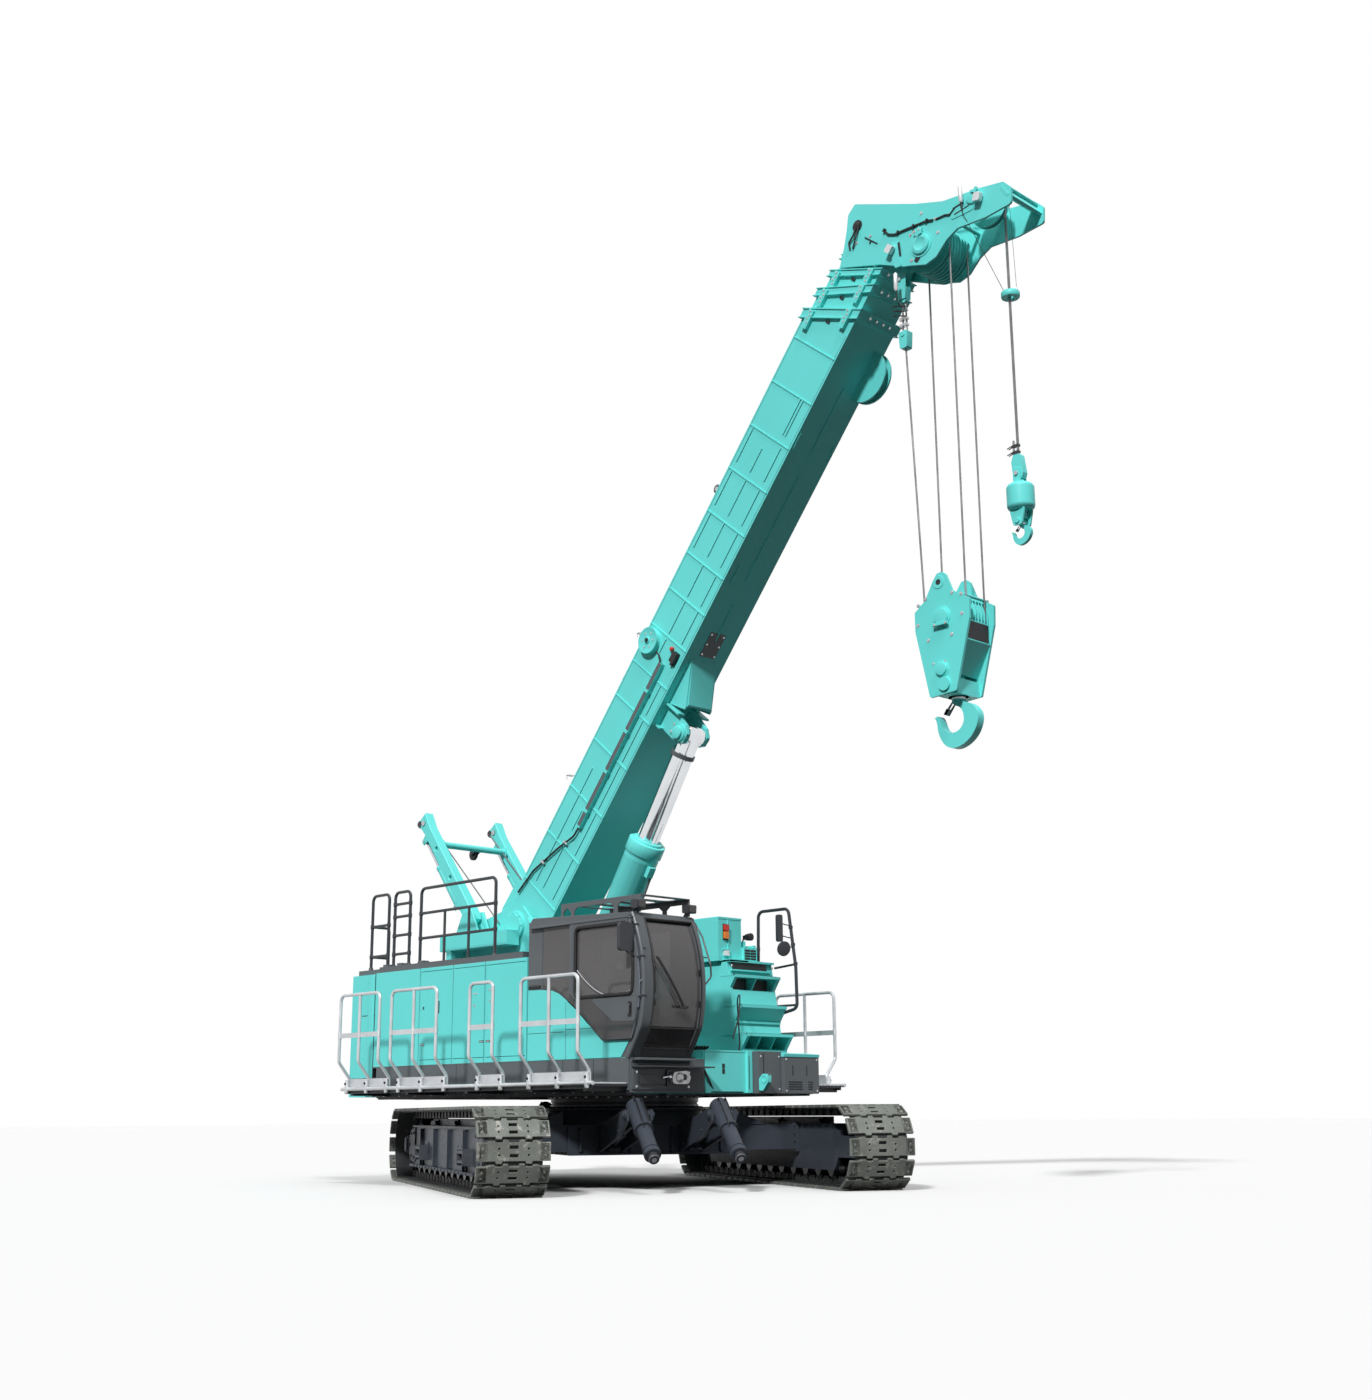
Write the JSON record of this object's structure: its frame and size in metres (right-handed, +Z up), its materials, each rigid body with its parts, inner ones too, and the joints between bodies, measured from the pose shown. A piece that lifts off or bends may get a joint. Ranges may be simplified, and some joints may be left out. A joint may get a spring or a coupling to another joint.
{
  "type": "telescopic crawler crane",
  "caption": "Crawler crane with a telescopic box boom, luffing cylinder, hook block and ball hook, slewing upper with cab and house, on two tracks with carbody jacks.",
  "frame": {"origin": "on the ground under the middle of the overall box; the slewing axis is 1.335 m behind it", "axes": "+X the way the cab and boom face, +Y to the machine's left, +Z up; the tracks are turned 26.67 degrees clockwise from +X"},
  "size_m": [10.5569, 7.2316, 11.3625],
  "materials": {
    "teal_paint": "bright teal machine paint, semi-gloss",
    "dark_paint": "dark blue-grey paint, satin",
    "track_steel": "worn grey-green cast steel",
    "running_gear": "dark painted steel",
    "chrome_rod": "ground chrome",
    "galvanised": "galvanised steel",
    "black_rail": "black-grey paint",
    "cab_glass": "smoked glass",
    "cab_trim": "matte charcoal moulding",
    "wire_rope": "greased steel wire rope",
    "engine": "plain cast block"
  },
  "bodies": {
    "undercarriage": {"carbody": "running_gear", "slew_ring": "running_gear", "side_frame_right": "running_gear", "side_frame_left": "running_gear", "track_right": "track_steel", "track_left": "track_steel", "drive_sprockets": "running_gear", "idlers": "running_gear", "track_rollers": "running_gear"},
    "upper": {"revolving_frame": "dark_paint", "counterweight": "teal_paint", "house_right": "teal_paint", "house_left": "teal_paint", "engine_block": "engine", "cab_shell": "dark_paint", "cab_glass": "cab_glass", "cab_interior": "cab_trim", "cab_roof_guard": "dark_paint", "step_tower": "teal_paint", "front_boxes": "dark_paint", "catwalk_right": "galvanised", "catwalk_left": "galvanised", "handrails_right": "galvanised", "handrails_left": "galvanised", "roof_handrails": "black_rail", "tower_rail": "black_rail", "winches": "teal_paint", "mast_base": "teal_paint"},
    "cab_door": {"cab_door": "dark_paint", "cab_door_glass": "cab_glass"},
    "house_door_1": {"house_door_1": "teal_paint"},
    "house_door_2": {"house_door_2": "teal_paint"},
    "house_door_3": {"house_door_3": "teal_paint"},
    "mast": {"mast_arms": "teal_paint"},
    "boom": {"boom_base": "teal_paint"},
    "tele_2": {"boom_section_2": "teal_paint"},
    "tele_3": {"boom_section_3": "teal_paint"},
    "tele_4": {"boom_section_4": "teal_paint", "boom_head": "teal_paint", "main_sheaves": "teal_paint", "aux_sheave": "teal_paint"},
    "luff_barrel": {"luff_barrel": "teal_paint"},
    "luff_rod": {"luff_rod": "chrome_rod"},
    "main_block": {"main_falls": "wire_rope", "hook_block": "teal_paint", "block_sheaves": "teal_paint"},
    "main_hook": {"main_hook": "teal_paint"},
    "aux_line": {"aux_rope": "wire_rope", "ball": "teal_paint"},
    "ball_hook": {"ball_hook": "teal_paint"},
    "jack_front_right": {"jack_front_right": "dark_paint"},
    "jack_front_left": {"jack_front_left": "dark_paint"},
    "jack_rear_right": {"jack_rear_right": "dark_paint"},
    "jack_rear_left": {"jack_rear_left": "dark_paint"}
  },
  "joints": [
    {"name": "slew", "type": "hinge", "parent": "undercarriage", "child": "upper", "pos_m": [-1.335, 0, 1], "axis": [0, 0, 1], "continuous": true},
    {"name": "jack_swing_front_right", "type": "hinge", "parent": "undercarriage", "child": "jack_front_right", "pos_m": [0.52744, -1.48315, 0.83], "axis": [0.4488, 0.8936, 0], "range_deg": [0, 53]},
    {"name": "jack_swing_front_left", "type": "hinge", "parent": "undercarriage", "child": "jack_front_left", "pos_m": [0.96677, -0.60849, 0.83], "axis": [0.4488, 0.8936, 0], "range_deg": [0, 53]},
    {"name": "jack_swing_rear_right", "type": "hinge", "parent": "undercarriage", "child": "jack_rear_right", "pos_m": [-3.63677, 0.60849, 0.83], "axis": [-0.4488, -0.8936, 0], "range_deg": [0, 53]},
    {"name": "jack_swing_rear_left", "type": "hinge", "parent": "undercarriage", "child": "jack_rear_left", "pos_m": [-3.19744, 1.48315, 0.83], "axis": [-0.4488, -0.8936, 0], "range_deg": [0, 53]},
    {"name": "cab_door_slide", "type": "slide", "parent": "upper", "child": "cab_door", "axis": [-1, 0, 0], "range_m": [0, 0.68]},
    {"name": "house_door_1_swing", "type": "hinge", "parent": "upper", "child": "house_door_1", "pos_m": [-2.8783, -1.538, 2.085], "axis": [0, 0, 1], "range_deg": [0, 70]},
    {"name": "house_door_2_swing", "type": "hinge", "parent": "upper", "child": "house_door_2", "pos_m": [-2.8537, -1.538, 2.085], "axis": [0, 0, -1], "range_deg": [0, 75]},
    {"name": "house_door_3_swing", "type": "hinge", "parent": "upper", "child": "house_door_3", "pos_m": [-1.4103, -1.538, 2.085], "axis": [0, 0, 1], "range_deg": [0, 65]},
    {"name": "mast_fold", "type": "hinge", "parent": "upper", "child": "mast", "pos_m": [-3.685, 0, 3.42], "axis": [0, 1, 0], "range_deg": [-40, 30]},
    {"name": "boom_luff", "type": "hinge", "parent": "upper", "child": "boom", "pos_m": [-2.963, 0, 3.268], "axis": [0, -1, 0], "range_deg": [-48.39, 31.61]},
    {"name": "tele_2_slide", "type": "slide", "parent": "boom", "child": "tele_2", "axis": [0.6376, 0, 0.7704], "range_m": [0, 6.37]},
    {"name": "tele_3_slide", "type": "slide", "parent": "tele_2", "child": "tele_3", "axis": [0.6376, 0, 0.7704], "range_m": [0, 6.37]},
    {"name": "tele_4_slide", "type": "slide", "parent": "tele_3", "child": "tele_4", "axis": [0.6376, 0, 0.7704], "range_m": [0, 6.37]},
    {"name": "luff_barrel_pivot", "type": "hinge", "parent": "upper", "child": "luff_barrel", "pos_m": [-2.435, 0, 1.8], "axis": [0, -1, 0], "range_deg": [-40.5, 27]},
    {"name": "luff_rod_slide", "type": "slide", "parent": "luff_barrel", "child": "luff_rod", "axis": [0.5359, 0, 0.8443], "range_m": [-1.15, 0.75]},
    {"name": "main_falls_hang", "type": "hinge", "parent": "tele_4", "child": "main_block", "pos_m": [4.03209, 0, 10.46583], "axis": [0, -1, 0], "range_deg": [-32.61, 49.39]},
    {"name": "main_hook_swivel", "type": "hinge", "parent": "main_block", "child": "main_hook", "pos_m": [4.03209, 0, 5.1], "axis": [0, 0, 1], "continuous": true},
    {"name": "aux_line_hang", "type": "hinge", "parent": "tele_4", "child": "aux_line", "pos_m": [4.77015, 0, 10.75067], "axis": [0, -1, 0], "range_deg": [-32.61, 49.39]},
    {"name": "ball_hook_swivel", "type": "hinge", "parent": "aux_line", "child": "ball_hook", "pos_m": [4.96445, 0, 7], "axis": [0, 0, 1], "continuous": true}
  ],
  "couplings": [
    {"joint": "tele_3_slide", "follows": "tele_2_slide", "ratio": 1},
    {"joint": "tele_4_slide", "follows": "tele_2_slide", "ratio": 1},
    {"joint": "luff_barrel_pivot", "follows": "boom_luff", "ratio": 0.81},
    {"joint": "luff_rod_slide", "follows": "boom_luff", "m_per_rad": 1.3},
    {"joint": "main_falls_hang", "follows": "boom_luff", "ratio": -1},
    {"joint": "aux_line_hang", "follows": "boom_luff", "ratio": -1}
  ]
}
